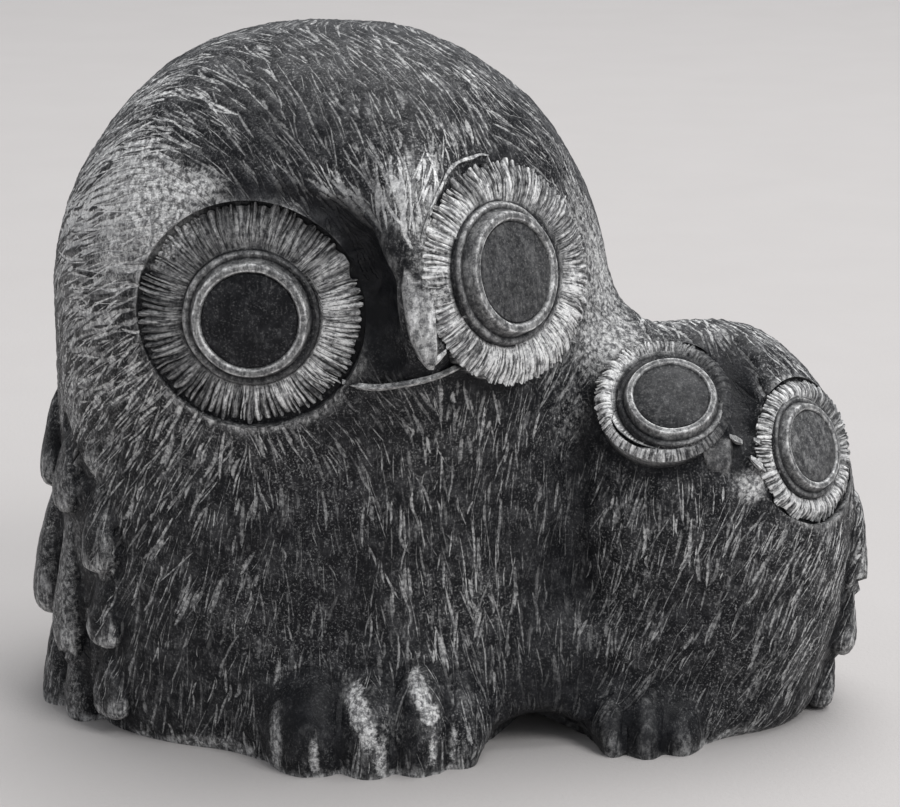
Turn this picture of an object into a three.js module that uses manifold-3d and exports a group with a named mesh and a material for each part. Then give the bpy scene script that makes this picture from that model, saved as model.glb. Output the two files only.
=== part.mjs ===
// A soapstone carving of a large owl with an owlet at its side, cut from one block and standing
// on its own flat underside.  Millimetres, +Z up.  +X runs along the long side of the block
// towards the owlet, and -Y is the side with the faces and the feet.
//
// Each owl is a few rounded lumps blended into one smooth form, swept out as a radius from a
// point inside it.  Pockets, face discs, eyes, beaks, feathers and toes are then cut or joined.
// Directions are an azimuth from -Y towards +X and an elevation, both in degrees.

import * as THREE from "three";
import { mergeVertices } from "three/addons/utils/BufferGeometryUtils.js";
import Module from "manifold-3d";

const wasm = await Module();
wasm.setup();

const FAR = 140; // longer than any radius of the carving
const HALVINGS = 24; // steps taken to find the surface along a radius
const vec = (x, y, z) => new THREE.Vector3(x, y, z);
const radians = THREE.MathUtils.degToRad;

// ---------------------------------------------------------------- driving dimensions

// A lump is a rounded block: plan is how square it is from above, rise how square from the side.
const lump = (centre, radii, plan = 2, rise = 2) => ({
  centre: vec(...centre),
  radii: vec(...radii),
  plan,
  rise,
});

// Between the two owls the stone is left as a web, shared by both forms.
const WEB = [
  lump([14.4, -1, 37], [6, 16, 39.6], 2, 2.4),
  lump([27, -2.7, 64], [10, 12, 12]),
  lump([17.4, -13, 11], [9, 14.6, 12], 2.2, 2.6),
];

const PARENT = {
  heart: vec(-24, 2, 50),
  blend: 9,
  detail: 9,
  lumps: [
    lump([-22.7, 0.4, 87.9], [46.1, 40.7, 42.2], 2.8, 2.2), // head
    lump([-22.1, 3.7, 45.9], [52.1, 39.6, 58.4], 2.4, 5), // body
    ...WEB,
    lump([-3.5, -36, 91], [8, 9, 17]), // bridge of the nose
    lump([-21, -31, 3], [13, 10, 13], 2.4, 2.4), // foot
    lump([-3, -28, 3], [9, 9, 14], 2.4, 2.4), // foot beside the owlet
  ],
  cheek: { azimuth: 44, elevation: 12, through: vec(9.7, -32.6, 90) },
};

const OWLET = {
  heart: vec(46, -5.8, 36),
  blend: 7,
  detail: 7,
  lumps: [
    lump([46.5, -5.8, 37.9], [30, 24.6, 37.4], 2.2, 2.1), // head and back
    lump([40.6, -5.7, 10.6], [29.7, 22.8, 13.7], 2.3, 4), // base
    ...WEB,
    lump([36, -26, 2], [9, 6, 6.5], 2.4, 2.4), // foot
  ],
};

// An eye: the middle of its disc, the way it looks, its radii and how far the eye stands out.
const eye = (at, azimuth, elevation, disc, boss, ring, rise) => ({
  at: vec(...at),
  azimuth,
  elevation,
  disc,
  boss,
  ring,
  rise,
});

const EYES = [
  eye([-34.2, -36.5, 83.6], -4, 0, 19.6, 12.6, 9.6, 3.4),
  eye([10.4, -33.2, 90.4], 44, 12, 19.6, 12.8, 9.8, 3.4),
  eye([39, -24, 65.2], 2, 44, 12.4, 9.8, 7.7, 2),
  eye([65.8, -19.2, 54], 47, 18, 13, 9.6, 7.4, 2.2),
];
const DISC_DROP = 1; // how far a disc falls away from the eye to its rim
const DISC_ROOT = 9; // how deep the disc's body goes into the head
const MOAT = 1.1; // width and depth of the groove cut round a disc
const RING_GROOVE = 0.6;
const EYE_SIDES = 26;

// Beaks are four-sided and follow the line of their ridge: [x, y, z, half width].
const BEAK_RINGS = 8;
const PARENT_BEAK = {
  azimuth: 16,
  height: 6,
  ridge: [
    [-7.4, -38, 102.5, 1.4],
    [-8.2, -43, 95, 3.2],
    [-6.8, -46.6, 85, 4],
    [-4.8, -48.4, 79.4, 3.6],
    [-3.6, -46.8, 76.2, 1.2],
  ],
};
const OWLET_BEAK = {
  azimuth: 6,
  height: 4,
  ridge: [
    [48.2, -27.6, 58, 1.4],
    [48.6, -30, 55.6, 2.6],
    [49, -31.4, 52, 2.2],
    [49.2, -30.4, 49.6, 1],
  ],
};
const BEAK_HOLLOW = { centre: vec(-13.8, -39, 88.5), radii: vec(5, 8, 15), lean: 9 };
const MOUTH = { from: [-18, -38.6, 72], bend: [-8.7, -40.6, 72.4], to: [4, -38.4, 76], radius: 1.4 };

// Toes: [middle x, front y, width, height].
const TOES = [
  [-27, -44.6, 9, 16],
  [-20.8, -46, 8, 17],
  [-14.6, -45.6, 8, 17],
  [-7.4, -44.6, 9, 17.5],
  [-1.6, -42.4, 6, 17],
  [3, -39.8, 6, 15],
  [29.8, -34.4, 6.8, 9],
  [35.8, -36, 7.2, 9.5],
  [42, -34.8, 7, 8.5],
];
const TOE_LENGTH = 22;

// Feathers hang in columns round an owl.  Each row is [height of the middle, length, thickness].
const LONG_ROWS = [
  [52.4, 17, 4],
  [31, 28, 6],
  [6.5, 19, 7],
];
const MIDDLE_ROWS = [
  [48, 15, 2.4],
  [26.5, 31, 3.4],
  [5, 15, 4.6],
];
const FRONT_ROWS = [
  [40.6, 18, 2.4],
  [24.3, 15, 2.4],
  [10, 14, 2.6],
];
const FAR_ROWS = [
  [50, 18, 3.2],
  [30, 27, 3.8],
  [6.5, 19, 4.2],
];
const SMALL_ROWS = [
  [33, 20, 3],
  [20, 18, 3],
  [7, 14, 3],
];
const TAIL_ROWS = [[13, 38, 5]];
const SMALL_TAIL_ROWS = [[8, 26, 2.6]];
const plume = (owl, azimuths, rows, width) => ({ owl, azimuths, rows, width });

const PLUMES = [
  plume(PARENT, [-58], FRONT_ROWS, 10),
  plume(PARENT, [-72], MIDDLE_ROWS, 10.6),
  plume(PARENT, [-87, -101, -115, -129], LONG_ROWS, 13.4),
  plume(PARENT, [116, 130], FAR_ROWS, 12.6),
  plume(PARENT, [165, 180, 195], TAIL_ROWS, 11.6),
  plume(OWLET, [86, 106, 126], SMALL_ROWS, 11),
  plume(OWLET, [170, 190], SMALL_TAIL_ROWS, 9.4),
];
const FEATHER_TILT = 5; // the lower tip of a feather stands out, in degrees
const FEATHER_SIDES = 6;

// The groove along the front edge of the big wing.
const WING_GROOVE = {
  line: [
    [-71, -12, 56],
    [-65, -21, 47],
    [-60.5, -25.6, 38],
    [-60, -25.6, 20],
    [-61, -24, 2],
  ],
  radius: 1.5,
};

// The low arch under the block, between the feet of the two owls.
const ARCH = { centre: vec(17.2, -36, 0), radii: vec(10.8, 26, 7.4) };

// ---------------------------------------------------------------- smooth forms

function lumpDistance(point, { centre, radii, plan, rise }) {
  const q = point.clone().sub(centre).divide(radii);
  const across = (Math.abs(q.x) ** plan + Math.abs(q.y) ** plan) ** (rise / plan);
  const reach = (across + Math.abs(q.z) ** rise) ** (1 / rise);
  return (reach - 1) * Math.min(radii.x, radii.y, radii.z);
}

function smoothUnion(a, b, blend) {
  const h = Math.max(blend - Math.abs(a - b), 0) / blend;
  return Math.min(a, b) - (h * h * blend) / 4;
}

const smoothCut = (a, b, blend) => -smoothUnion(-a, -b, blend);

function facing(azimuth, elevation = 0) {
  const a = radians(azimuth);
  const e = radians(elevation);
  return vec(Math.sin(a) * Math.cos(e), -Math.cos(a) * Math.cos(e), Math.sin(e));
}

function owlDistance({ lumps, blend, cheek }, point) {
  const form = lumps
    .map((l) => lumpDistance(point, l))
    .reduce((a, b) => smoothUnion(a, b, blend));
  if (!cheek) return form;
  const flat = point.clone().sub(cheek.through).dot(facing(cheek.azimuth, cheek.elevation));
  return smoothCut(form, flat, blend);
}

// How far the surface is from a point inside the owl, along a direction.
function reachFrom(owl, start, direction) {
  let inside = 0;
  let outside = FAR;
  for (let i = 0; i < HALVINGS; i++) {
    const middle = (inside + outside) / 2;
    const d = owlDistance(owl, start.clone().addScaledVector(direction, middle));
    if (d < 0) inside = middle;
    else outside = middle;
  }
  return inside;
}

// The point of the surface at an azimuth and height, with the way the surface faces there.
function surfaceAt(owl, azimuth, height) {
  const start = vec(owl.heart.x, owl.heart.y, height);
  const out = facing(azimuth);
  const point = start.addScaledVector(out, reachFrom(owl, start, out));
  const slope = (axis) =>
    owlDistance(owl, point.clone().add(axis)) - owlDistance(owl, point.clone().sub(axis));
  const normal = vec(slope(vec(1, 0, 0)), slope(vec(0, 1, 0)), slope(vec(0, 0, 1))).normalize();
  return { point, normal };
}

// ---------------------------------------------------------------- solids

function solidOf(geometry) {
  const bare = geometry.clone();
  for (const name of ["normal", "uv"]) bare.deleteAttribute(name);
  const merged = mergeVertices(bare, 1e-4);
  return new wasm.Manifold(
    new wasm.Mesh({
      numProp: 3,
      vertProperties: merged.attributes.position.array,
      triVerts: new Uint32Array(merged.index.array),
    }),
  );
}

// Moves every corner of a geometry by a rule, after joining the corners that coincide.
function reshaped(source, rule) {
  for (const name of ["normal", "uv"]) source.deleteAttribute(name);
  const geometry = mergeVertices(source, 1e-3);
  const position = geometry.attributes.position;
  for (let i = 0; i < position.count; i++) {
    const p = rule(vec(0, 0, 0).fromBufferAttribute(position, i));
    position.setXYZ(i, p.x, p.y, p.z);
  }
  return geometry;
}

function placed(geometry, axis, at) {
  const turn = new THREE.Quaternion().setFromUnitVectors(vec(0, 1, 0), axis);
  return geometry.applyQuaternion(turn).translate(at.x, at.y, at.z);
}

function owlBody(owl) {
  const sphere = new THREE.IcosahedronGeometry(1, owl.detail);
  const pushOut = (corner) => {
    const direction = corner.normalize();
    const radius = reachFrom(owl, owl.heart, direction);
    return direction.multiplyScalar(radius).add(owl.heart);
  };
  return solidOf(reshaped(sphere, pushOut));
}

// A face disc with its raised eye, turned on the eye's axis.
function eyeSolid({ at, azimuth, elevation, disc, boss, ring, rise }) {
  const outline = [
    [0, -DISC_ROOT],
    [disc - 2, -DISC_ROOT],
    [disc, -DISC_DROP],
    [boss, 0],
    [boss - 0.7, rise - 0.5],
    [boss - 1.5, rise],
    [ring + 0.3, rise],
    [ring - 0.3, rise - RING_GROOVE],
    [ring - 1.1, rise + 0.1],
    [0, rise + 0.8],
  ].map(([radius, height]) => new THREE.Vector2(radius, height));
  const turned = new THREE.LatheGeometry(outline, EYE_SIDES);
  return solidOf(placed(turned, facing(azimuth, elevation), at));
}

// The round pocket that a disc sits in, open to the front and flaring outwards.
function eyePocket({ at, azimuth, elevation, disc }) {
  const axis = facing(azimuth, elevation);
  const height = 30;
  const floor = height / 2 - DISC_DROP - MOAT;
  const pocket = new THREE.CylinderGeometry(disc + 4 * MOAT, disc + MOAT, height, EYE_SIDES);
  return solidOf(placed(pocket, axis, at.clone().addScaledVector(axis, floor)));
}

// A four-sided beak swept down the line of its ridge.
function beakSolid({ azimuth, height, ridge }) {
  const front = facing(azimuth);
  const side = vec(-front.y, front.x, 0);
  const spine = new THREE.CatmullRomCurve3(ridge.map(([x, y, z]) => vec(x, y, z)));
  const widths = new THREE.SplineCurve(ridge.map((r, i) => new THREE.Vector2(i, r[3])));
  const stick = new THREE.CylinderGeometry(1, 1, 1, 4, BEAK_RINGS);
  const onBeak = (corner) => {
    const along = 0.5 - corner.y;
    const back = (corner.z - 1) * height;
    const across = corner.x * widths.getPoint(along).y;
    return spine.getPoint(along).addScaledVector(front, back).addScaledVector(side, across);
  };
  return solidOf(reshaped(stick, onBeak));
}

function ellipsoid({ centre, radii }, sides = 7) {
  const ball = new THREE.SphereGeometry(1, sides, sides - 2);
  return ball.scale(radii.x, radii.y, radii.z).translate(centre.x, centre.y, centre.z);
}

function hollowSolid({ centre, radii, lean }) {
  const ball = ellipsoid({ centre: vec(0, 0, 0), radii }, 10);
  return solidOf(ball.rotateY(radians(-lean)).translate(centre.x, centre.y, centre.z));
}

function tubeAlong(points, radius, steps) {
  const line = new THREE.CatmullRomCurve3(points.map(([x, y, z]) => vec(x, y, z)));
  const { normals, binormals } = line.computeFrenetFrames(steps);
  const onLine = (corner) => {
    const along = corner.y + 0.5;
    const i = Math.round(along * steps);
    return line
      .getPointAt(along)
      .addScaledVector(normals[i], corner.x * radius)
      .addScaledVector(binormals[i], -corner.z * radius);
  };
  return solidOf(reshaped(new THREE.CylinderGeometry(1, 1, 1, 6, steps), onLine));
}

function toeSolid([x, front, width, height]) {
  const centre = vec(x, front + TOE_LENGTH / 2, 2);
  return solidOf(ellipsoid({ centre, radii: vec(width / 2 + 0.4, TOE_LENGTH / 2, height - 2) }));
}

// A feather is a flattened oval lying on the surface with its lower tip lifted.
function featherSolid({ owl, width }, azimuth, height, length, thickness) {
  const { point, normal } = surfaceAt(owl, azimuth, height);
  const side = vec(0, 0, 1).cross(normal).normalize();
  const along = normal.clone().cross(side);
  const turn = new THREE.Matrix4().makeBasis(side, along, normal);
  const oval = new THREE.SphereGeometry(1, FEATHER_SIDES, 4)
    .scale(width / 2, length / 2, thickness)
    .rotateX(radians(-FEATHER_TILT))
    .applyMatrix4(turn)
    .translate(point.x, point.y, point.z);
  return solidOf(oval);
}

// ---------------------------------------------------------------- the carving

let stone = owlBody(PARENT).add(owlBody(OWLET));
for (const e of EYES) stone = stone.subtract(eyePocket(e));
stone = stone.subtract(hollowSolid(BEAK_HOLLOW));
stone = stone.subtract(tubeAlong(WING_GROOVE.line, WING_GROOVE.radius, 10));

for (const e of EYES) stone = stone.add(eyeSolid(e));
for (const beak of [PARENT_BEAK, OWLET_BEAK]) stone = stone.add(beakSolid(beak));
stone = stone.add(tubeAlong([MOUTH.from, MOUTH.bend, MOUTH.to], MOUTH.radius, 8));
for (const toe of TOES) stone = stone.add(toeSolid(toe));
for (const p of PLUMES) {
  for (const azimuth of p.azimuths) {
    for (const [height, length, thickness] of p.rows) {
      stone = stone.add(featherSolid(p, azimuth, height, length, thickness));
    }
  }
}

stone = stone.subtract(solidOf(ellipsoid(ARCH, 12)));
const under = new THREE.BoxGeometry(400, 400, 100).translate(0, 0, -50);
stone = stone.subtract(solidOf(under));

const mesh = stone.getMesh();
const geometry = new THREE.BufferGeometry();
geometry.setAttribute("position", new THREE.BufferAttribute(mesh.vertProperties, 3));
geometry.setIndex(new THREE.BufferAttribute(mesh.triVerts, 1));
const carving = new THREE.Mesh(
  geometry,
  new THREE.MeshStandardMaterial({ color: 0x3b3b3e, roughness: 0.6, metalness: 0 }),
);
carving.name = "owl_carving";

const group = new THREE.Group();
group.name = "soapstone_owls";
group.add(carving);
export default group;
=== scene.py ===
"""A soapstone owl with an owlet at its side, cut from one dark block that stands on a table.

The stone is shaped in millimetres and turned into metres at the end.  -Y is the side with the
faces, +X is the owlet's end and the block stands on z = 0, as in the solid that it replaces.
"""

import math
import random
from collections import Counter

import bmesh
import bpy
import numpy as np
from mathutils import Matrix, Vector, kdtree, noise


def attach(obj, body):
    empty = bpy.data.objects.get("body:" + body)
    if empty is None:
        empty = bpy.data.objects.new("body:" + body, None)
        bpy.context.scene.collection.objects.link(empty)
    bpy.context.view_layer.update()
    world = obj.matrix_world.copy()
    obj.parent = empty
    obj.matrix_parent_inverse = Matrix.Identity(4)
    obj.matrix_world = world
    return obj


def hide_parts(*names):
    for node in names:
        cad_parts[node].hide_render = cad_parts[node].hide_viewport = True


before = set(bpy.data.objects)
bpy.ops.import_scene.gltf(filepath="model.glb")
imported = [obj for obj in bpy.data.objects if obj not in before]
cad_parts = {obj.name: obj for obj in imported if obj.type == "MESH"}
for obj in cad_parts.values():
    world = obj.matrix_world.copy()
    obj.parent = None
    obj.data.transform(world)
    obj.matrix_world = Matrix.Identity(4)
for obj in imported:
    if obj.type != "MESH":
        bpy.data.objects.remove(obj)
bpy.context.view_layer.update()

random.seed(7)
MM = 0.001
VOXEL = 1.62
# What lies deeper than this under the table is dropped early.
SUNK = -4


def vec(*values):
    return np.array(values, float)


def facing(azimuth, elevation=0):
    """The way out at an azimuth from -Y towards +X and an elevation, in degrees."""
    a, e = math.radians(azimuth), math.radians(elevation)
    return vec(math.sin(a) * math.cos(e), -math.cos(a) * math.cos(e), math.sin(e))


# ------------------------------------------------------------------ the two smooth owls

# A lump is a rounded block: centre, radii, how square it is from above and from the side.
WEB = [
    (vec(14.4, -1, 37), vec(6, 16, 39.6), 2, 2.4),
    (vec(27, -2.7, 64), vec(10, 12, 12), 2, 2),
    (vec(17.4, -13, 11), vec(9, 14.6, 12), 2.2, 2.6),
]
PARENT = [
    (vec(-22.7, 0.4, 87.9), vec(46.1, 40.7, 42.2), 2.8, 2.2),
    (vec(-22.1, 3.7, 45.9), vec(52.1, 39.6, 58.4), 2.4, 5),
    *WEB,
    (vec(-3.5, -36, 91), vec(8, 9, 17), 2, 2),
    (vec(-21, -31, 3), vec(13, 10, 13), 2.4, 2.4),
    (vec(-3, -28, 3), vec(9, 9, 14), 2.4, 2.4),
]
OWLET = [
    (vec(46.5, -5.8, 37.9), vec(30, 24.6, 37.4), 2.2, 2.1),
    (vec(40.6, -5.7, 10.6), vec(29.7, 22.8, 13.7), 2.3, 4),
    *WEB,
    (vec(36, -26, 2), vec(9, 6, 6.5), 2.4, 2.4),
]
PARENT_HEART = vec(-24, 2, 50)
OWLET_HEART = vec(46, -5.8, 36)
# The flat cheek under the parent's right disc: a point on it and the way it looks.
CHEEK = (vec(9.7, -32.6, 90), facing(44, 12))
# How widely one form flows into the next.
PARENT_BLEND = 9
OWLET_BLEND = 7
WEB_BLEND = 3
# Further out than any surface, and how often the search for one halves its span.
OUTSIDE = 140.0
HALVINGS = 24


def lump_gap(points, lump):
    centre, radii, plan, rise = lump
    q = np.abs((points - centre) / radii)
    across = (q[..., 0] ** plan + q[..., 1] ** plan) ** (rise / plan)
    return ((across + q[..., 2] ** rise) ** (1 / rise) - 1) * radii.min()


def joined(a, b, blend):
    h = np.maximum(blend - np.abs(a - b), 0) / blend
    return np.minimum(a, b) - h * h * blend / 4


def carved(a, b, blend):
    """The form a with the form b cut out of it."""
    return -joined(-a, b, blend)


def parent_gap(points):
    gap = lump_gap(points, PARENT[0])
    for lump in PARENT[1:]:
        gap = joined(gap, lump_gap(points, lump), PARENT_BLEND)
    beyond_cheek = (points - CHEEK[0]) @ CHEEK[1]
    return -joined(-gap, -beyond_cheek, PARENT_BLEND)


def owlet_gap(points):
    gap = lump_gap(points, OWLET[0])
    for lump in OWLET[1:]:
        gap = joined(gap, lump_gap(points, lump), OWLET_BLEND)
    return gap


def reach(gap, starts, directions):
    """How far the surface is from each start inside the stone, along each direction."""
    inside = np.zeros(len(directions))
    outside = np.full(len(directions), OUTSIDE)
    for _ in range(HALVINGS):
        middle = (inside + outside) / 2
        within = gap(starts + directions * middle[:, None]) < 0
        inside = np.where(within, middle, inside)
        outside = np.where(within, outside, middle)
    return inside


def slope(gap, points, step=0.03):
    """The way a gap grows fastest at each point: straight out of the stone."""
    here = gap(points)
    return np.stack([(gap(points + axis) - here) / step for axis in np.eye(3) * step], -1)


# ------------------------------------------------------------------ feathers, toes and cuts

def oval_gap(points, oval):
    centre, basis, radii = oval
    q = (points - centre) @ basis.T / radii
    out = np.sqrt((q * q).sum(-1))
    steep = np.sqrt(((q / radii) ** 2).sum(-1))
    return out * (out - 1) / np.maximum(steep, 1e-3)


def lobe_gap(points, lobe):
    """A flattened drop: thin and pointed at its top, thick and blunt at its lower end."""
    centre, basis, radii = lobe
    q = (points - centre) @ basis.T / radii
    taper = np.clip(0.86 - 0.42 * q[..., 1], 0.3, 1.3)
    q[..., 0] /= taper
    q[..., 2] /= taper
    q = np.abs(q)
    out = (q ** 3).sum(-1) ** (1 / 3)
    steep = np.sqrt(((q ** 2 / radii) ** 2).sum(-1)) / np.maximum(out, 1e-3) ** 2
    return (out - 1) / np.maximum(steep, 0.05)


def thread_gap(points, stations):
    """A thread of balls of changing size: each station is x, y, z, radius."""
    best = None
    for a, b in zip(stations, stations[1:]):
        a, b = vec(*a), vec(*b)
        run = b[:3] - a[:3]
        t = np.clip((points - a[:3]) @ run / (run @ run), 0, 1)
        away = points - a[:3] - t[..., None] * run
        gap = np.sqrt((away * away).sum(-1)) - (a[3] + t * (b[3] - a[3]))
        best = gap if best is None else np.minimum(best, gap)
    return best


def feather(gap, heart, azimuth, height, length, width, thickness, tilt=5):
    """A drop lying on the stone at an azimuth and height, with its lower tip lifted.

    Gives its middle, its ways (sideways, upwards, out of the stone) and its radii.
    """
    start = vec(heart[0], heart[1], height)
    out = facing(azimuth)
    point = start + out * reach(gap, start[None], out[None])[0]
    normal = slope(gap, point[None])[0]
    normal /= np.linalg.norm(normal)
    side = np.cross(vec(0, 0, 1), normal)
    side /= np.linalg.norm(side)
    lean = math.radians(tilt)
    along = np.cross(normal, side)
    up = along * math.cos(lean) - normal * math.sin(lean)
    basis = np.stack([side, up, np.cross(side, up)])
    return point, basis, vec(width / 2, length / 2, thickness)


# Rows of feathers down a wing or a tail: height of the middle, length, thickness.
LONG_ROWS = [(52, 18, 3.4), (31, 30, 5.4), (7, 21, 7)]
MIDDLE_ROWS = [(48, 15, 1.8), (26.5, 31, 2.7), (6, 18, 4)]
FRONT_ROWS = [(40.6, 18, 2), (24.3, 15, 2), (10, 14, 2.2)]
FAR_ROWS = [(50, 18, 3), (30, 27, 3.6), (6.5, 19, 4)]
SMALL_ROWS = [(33, 20, 3), (20, 18, 3), (7, 14, 3)]
TAIL_ROWS = [(13, 38, 4.8)]
SMALL_TAIL_ROWS = [(8, 26, 2.4)]


def plume(gap, heart, azimuths, rows, width):
    """The feathers of a few rows at each azimuth, each a little out of line."""
    ovals = []
    for azimuth in azimuths:
        for height, length, thickness in rows:
            turn = azimuth + random.uniform(-1, 1)
            size = random.uniform(0.92, 1.06)
            ovals.append(
                feather(gap, heart, turn, height, length * size, width * size, thickness)
            )
    return ovals


FEATHERS = (
    plume(parent_gap, PARENT_HEART, [-57.5], FRONT_ROWS, 8.6)
    + plume(parent_gap, PARENT_HEART, [-71], MIDDLE_ROWS, 9.6)
    + plume(parent_gap, PARENT_HEART, [-86, -100, -114, -128], LONG_ROWS, 13.8)
    + plume(parent_gap, PARENT_HEART, [116, 130], FAR_ROWS, 13.4)
    + plume(parent_gap, PARENT_HEART, [165, 180, 195], TAIL_ROWS, 12.4)
    + plume(owlet_gap, OWLET_HEART, [86, 106, 126], SMALL_ROWS, 11)
    + plume(owlet_gap, OWLET_HEART, [170, 190], SMALL_TAIL_ROWS, 9.4)
)

# Foot bulges: centre and radii.
TOES = [
    (vec(-25, -35.4, 4.5), vec(8.4, 10.6, 12.6)),
    (vec(-14.6, -36.6, 4), vec(6.6, 10.2, 13)),
    (vec(-5.6, -36, 4.5), vec(6.4, 9.8, 13.4)),
    (vec(1.8, -32, 3), vec(5.6, 9.4, 13.6)),
    (vec(29.8, -26.6, 2), vec(4.2, 9.4, 8)),
    (vec(36, -27, 2), vec(4.6, 10, 8.6)),
    (vec(42.4, -25.6, 2), vec(4.6, 9.8, 7)),
]
TOE_OVALS = [(centre, np.eye(3), radii) for centre, radii in TOES]
TOE_GROOVES = [
    [(-24.4, -47, 12, 0.3), (-24.4, -47.2, 6, 0.9), (-24.6, -46, 0, 1)],
    [(-18.8, -46.6, 12, 0.5), (-18.6, -47.6, 6, 1), (-18.6, -46.8, 0, 1.1)],
    [(-3, -46, 12, 0.3), (-3, -46.2, 6, 0.8), (-3, -45, 0, 0.9)],
    [(33, -36.6, 6, 0.4), (33, -36.6, 0, 0.7)],
    [(39.2, -36.6, 6, 0.4), (39.2, -36.4, 0, 0.7)],
]

WING_GROOVE = [
    (-71, -12, 58, 0.6),
    (-66.5, -20.5, 48, 1.2),
    (-61.5, -27.2, 38, 1.3),
    (-60, -29, 24, 0.7),
]
BEAK_HOLLOW = [
    (-36, -38, 106.2, 0.8),
    (-28, -38.6, 105.6, 1.8),
    (-21, -39.8, 102.6, 3.2),
    (-16.6, -41, 96.5, 4.6),
    (-15, -42, 90, 6),
    (-14.2, -43, 83, 5.6),
    (-11.8, -44, 77.6, 4.8),
]
MOUTH = [
    (-14, -43, 75.4, 2.4),
    (-8, -45.4, 74.6, 2.6),
    (-2, -46.4, 75, 2.4),
    (2, -44.4, 76.6, 1.2),
]
# The root of the beak, a ridge with round stations: x, y, z, radius.
BEAK = [
    (-5.6, -35.4, 104, 4.6),
    (-5.6, -38, 99, 5.0),
    (-5.2, -39.6, 93, 5.0),
    (-4.2, -41.4, 87, 4.6),
    (-3.4, -42.4, 82, 3.6),
]
OWLET_NOTCH = [
    (53.0, -11, 76.4, 1.2),
    (52.4, -15.4, 74.4, 3.4),
    (52.2, -18.8, 71.8, 4.4),
    (52.4, -22, 68.2, 4.6),
    (53, -24.6, 64.4, 4.0),
    (53.2, -26.4, 60.6, 3.0),
    (53, -28.4, 57, 2.0),
    (52.6, -30, 52.6, 1.0),
]
OWLET_SLIT = [
    (45.0, -28.4, 57.4, 0.5),
    (48.4, -29.0, 57.8, 1.0),
    (52.0, -28.2, 58.0, 1.0),
]
# The low arch between the feet, a lump that comes to a blunt point.
ARCH = (vec(16.6, -36, 0), vec(11.4, 18, 8.2), 2, 1.4)


def lobed(gap, points, ovals, shape, groove_depth, blend):
    """Raises each oval lobe on the stone and cuts a narrow groove round it."""
    base = gap.copy()
    for oval in ovals:
        near = np.abs(points - oval[0]).max(-1) < oval[2].max() + 6
        lobe = shape(points[near], oval)
        groove = np.maximum(np.abs(lobe - 0.7) - 0.7, -(base[near] + groove_depth))
        gap[near] = joined(carved(gap[near], groove, 0.5), lobe, blend)
    return gap


def stone_gap(points):
    """How far each point is outside the carved stone, below 0 inside it."""
    gap = joined(parent_gap(points), owlet_gap(points), WEB_BLEND)
    gap = carved(gap, thread_gap(points, WING_GROOVE), 2)
    gap = lobed(gap, points, FEATHERS, lobe_gap, 1.4, 0.3)
    gap = lobed(gap, points, TOE_OVALS, oval_gap, 0.5, 2.2)
    gap = joined(gap, thread_gap(points, BEAK), 5)
    gap = carved(gap, thread_gap(points, OWLET_NOTCH), 3)
    for cut in (BEAK_HOLLOW, MOUTH, OWLET_SLIT):
        gap = carved(gap, thread_gap(points, cut), 0.9)
    for cut in TOE_GROOVES:
        gap = carved(gap, thread_gap(points, cut), 1.2)
    return carved(gap, lump_gap(points, ARCH), 2)


# ------------------------------------------------------------------ mesh helpers

def object_from(bm, name):
    mesh = bpy.data.meshes.new(name)
    bm.to_mesh(mesh)
    bm.free()
    piece = bpy.data.objects.new(name, mesh)
    bpy.context.scene.collection.objects.link(piece)
    return piece


def applied(piece):
    """Replaces the piece's mesh by what its modifiers make of it."""
    graph = bpy.context.evaluated_depsgraph_get()
    mesh = bpy.data.meshes.new_from_object(piece.evaluated_get(graph))
    piece.modifiers.clear()
    old = piece.data
    piece.data = mesh
    bpy.data.meshes.remove(old)
    return piece


def corners(mesh):
    flat = np.empty(len(mesh.vertices) * 3, np.float32)
    mesh.vertices.foreach_get("co", flat)
    return flat.reshape(-1, 3).astype(float)


def set_corners(mesh, points):
    mesh.vertices.foreach_set("co", points.astype(np.float32).ravel())
    mesh.update()


def boolean(piece, tools, operation):
    """Joins each tool to the piece or cuts it out, and drops the tool."""
    for tool in tools:
        modifier = piece.modifiers.new("cut", "BOOLEAN")
        modifier.operation = operation
        modifier.solver = "MANIFOLD"
        modifier.object = tool
        applied(piece)
        bpy.data.objects.remove(tool)


def turned_on_z(profile, steps):
    """A bmesh of the profile (radius, height) turned about Z; it starts and ends on the axis."""
    bm = bmesh.new()
    ring = [bm.verts.new((r, 0, h)) for r, h in profile]
    edges = [bm.edges.new(pair) for pair in zip(ring, ring[1:])]
    bmesh.ops.spin(
        bm,
        geom=ring + edges,
        cent=(0, 0, 0),
        axis=(0, 0, 1),
        angle=2 * math.pi,
        steps=steps,
        use_merge=True,
    )
    bmesh.ops.remove_doubles(bm, verts=bm.verts, dist=1e-4)
    bmesh.ops.recalc_face_normals(bm, faces=bm.faces)
    return bm


def pose_matrix(at, axis):
    turn = Vector((0, 0, 1)).rotation_difference(Vector(axis)).to_matrix().to_4x4()
    return Matrix.Translation(Vector(at)) @ turn


# ------------------------------------------------------------------ the block

def add_ball(bm, gap, heart):
    """Adds a ball whose vertices are pushed out to the surface of one smooth owl."""
    made = bmesh.ops.create_icosphere(bm, subdivisions=6, radius=1)["verts"]
    directions = np.array([v.co for v in made])
    directions /= np.linalg.norm(directions, axis=1)[:, None]
    points = heart + directions * reach(gap, np.repeat(heart[None], len(made), 0), directions)[:, None]
    for v, p in zip(made, points):
        v.co = p


def add_oval(bm, oval):
    centre, basis, radii = oval
    frame_of_oval = Matrix((basis.T * radii).tolist()).to_4x4()
    matrix = Matrix.Translation(Vector(centre)) @ frame_of_oval
    bmesh.ops.create_uvsphere(bm, u_segments=16, v_segments=12, radius=1, matrix=matrix)


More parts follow.
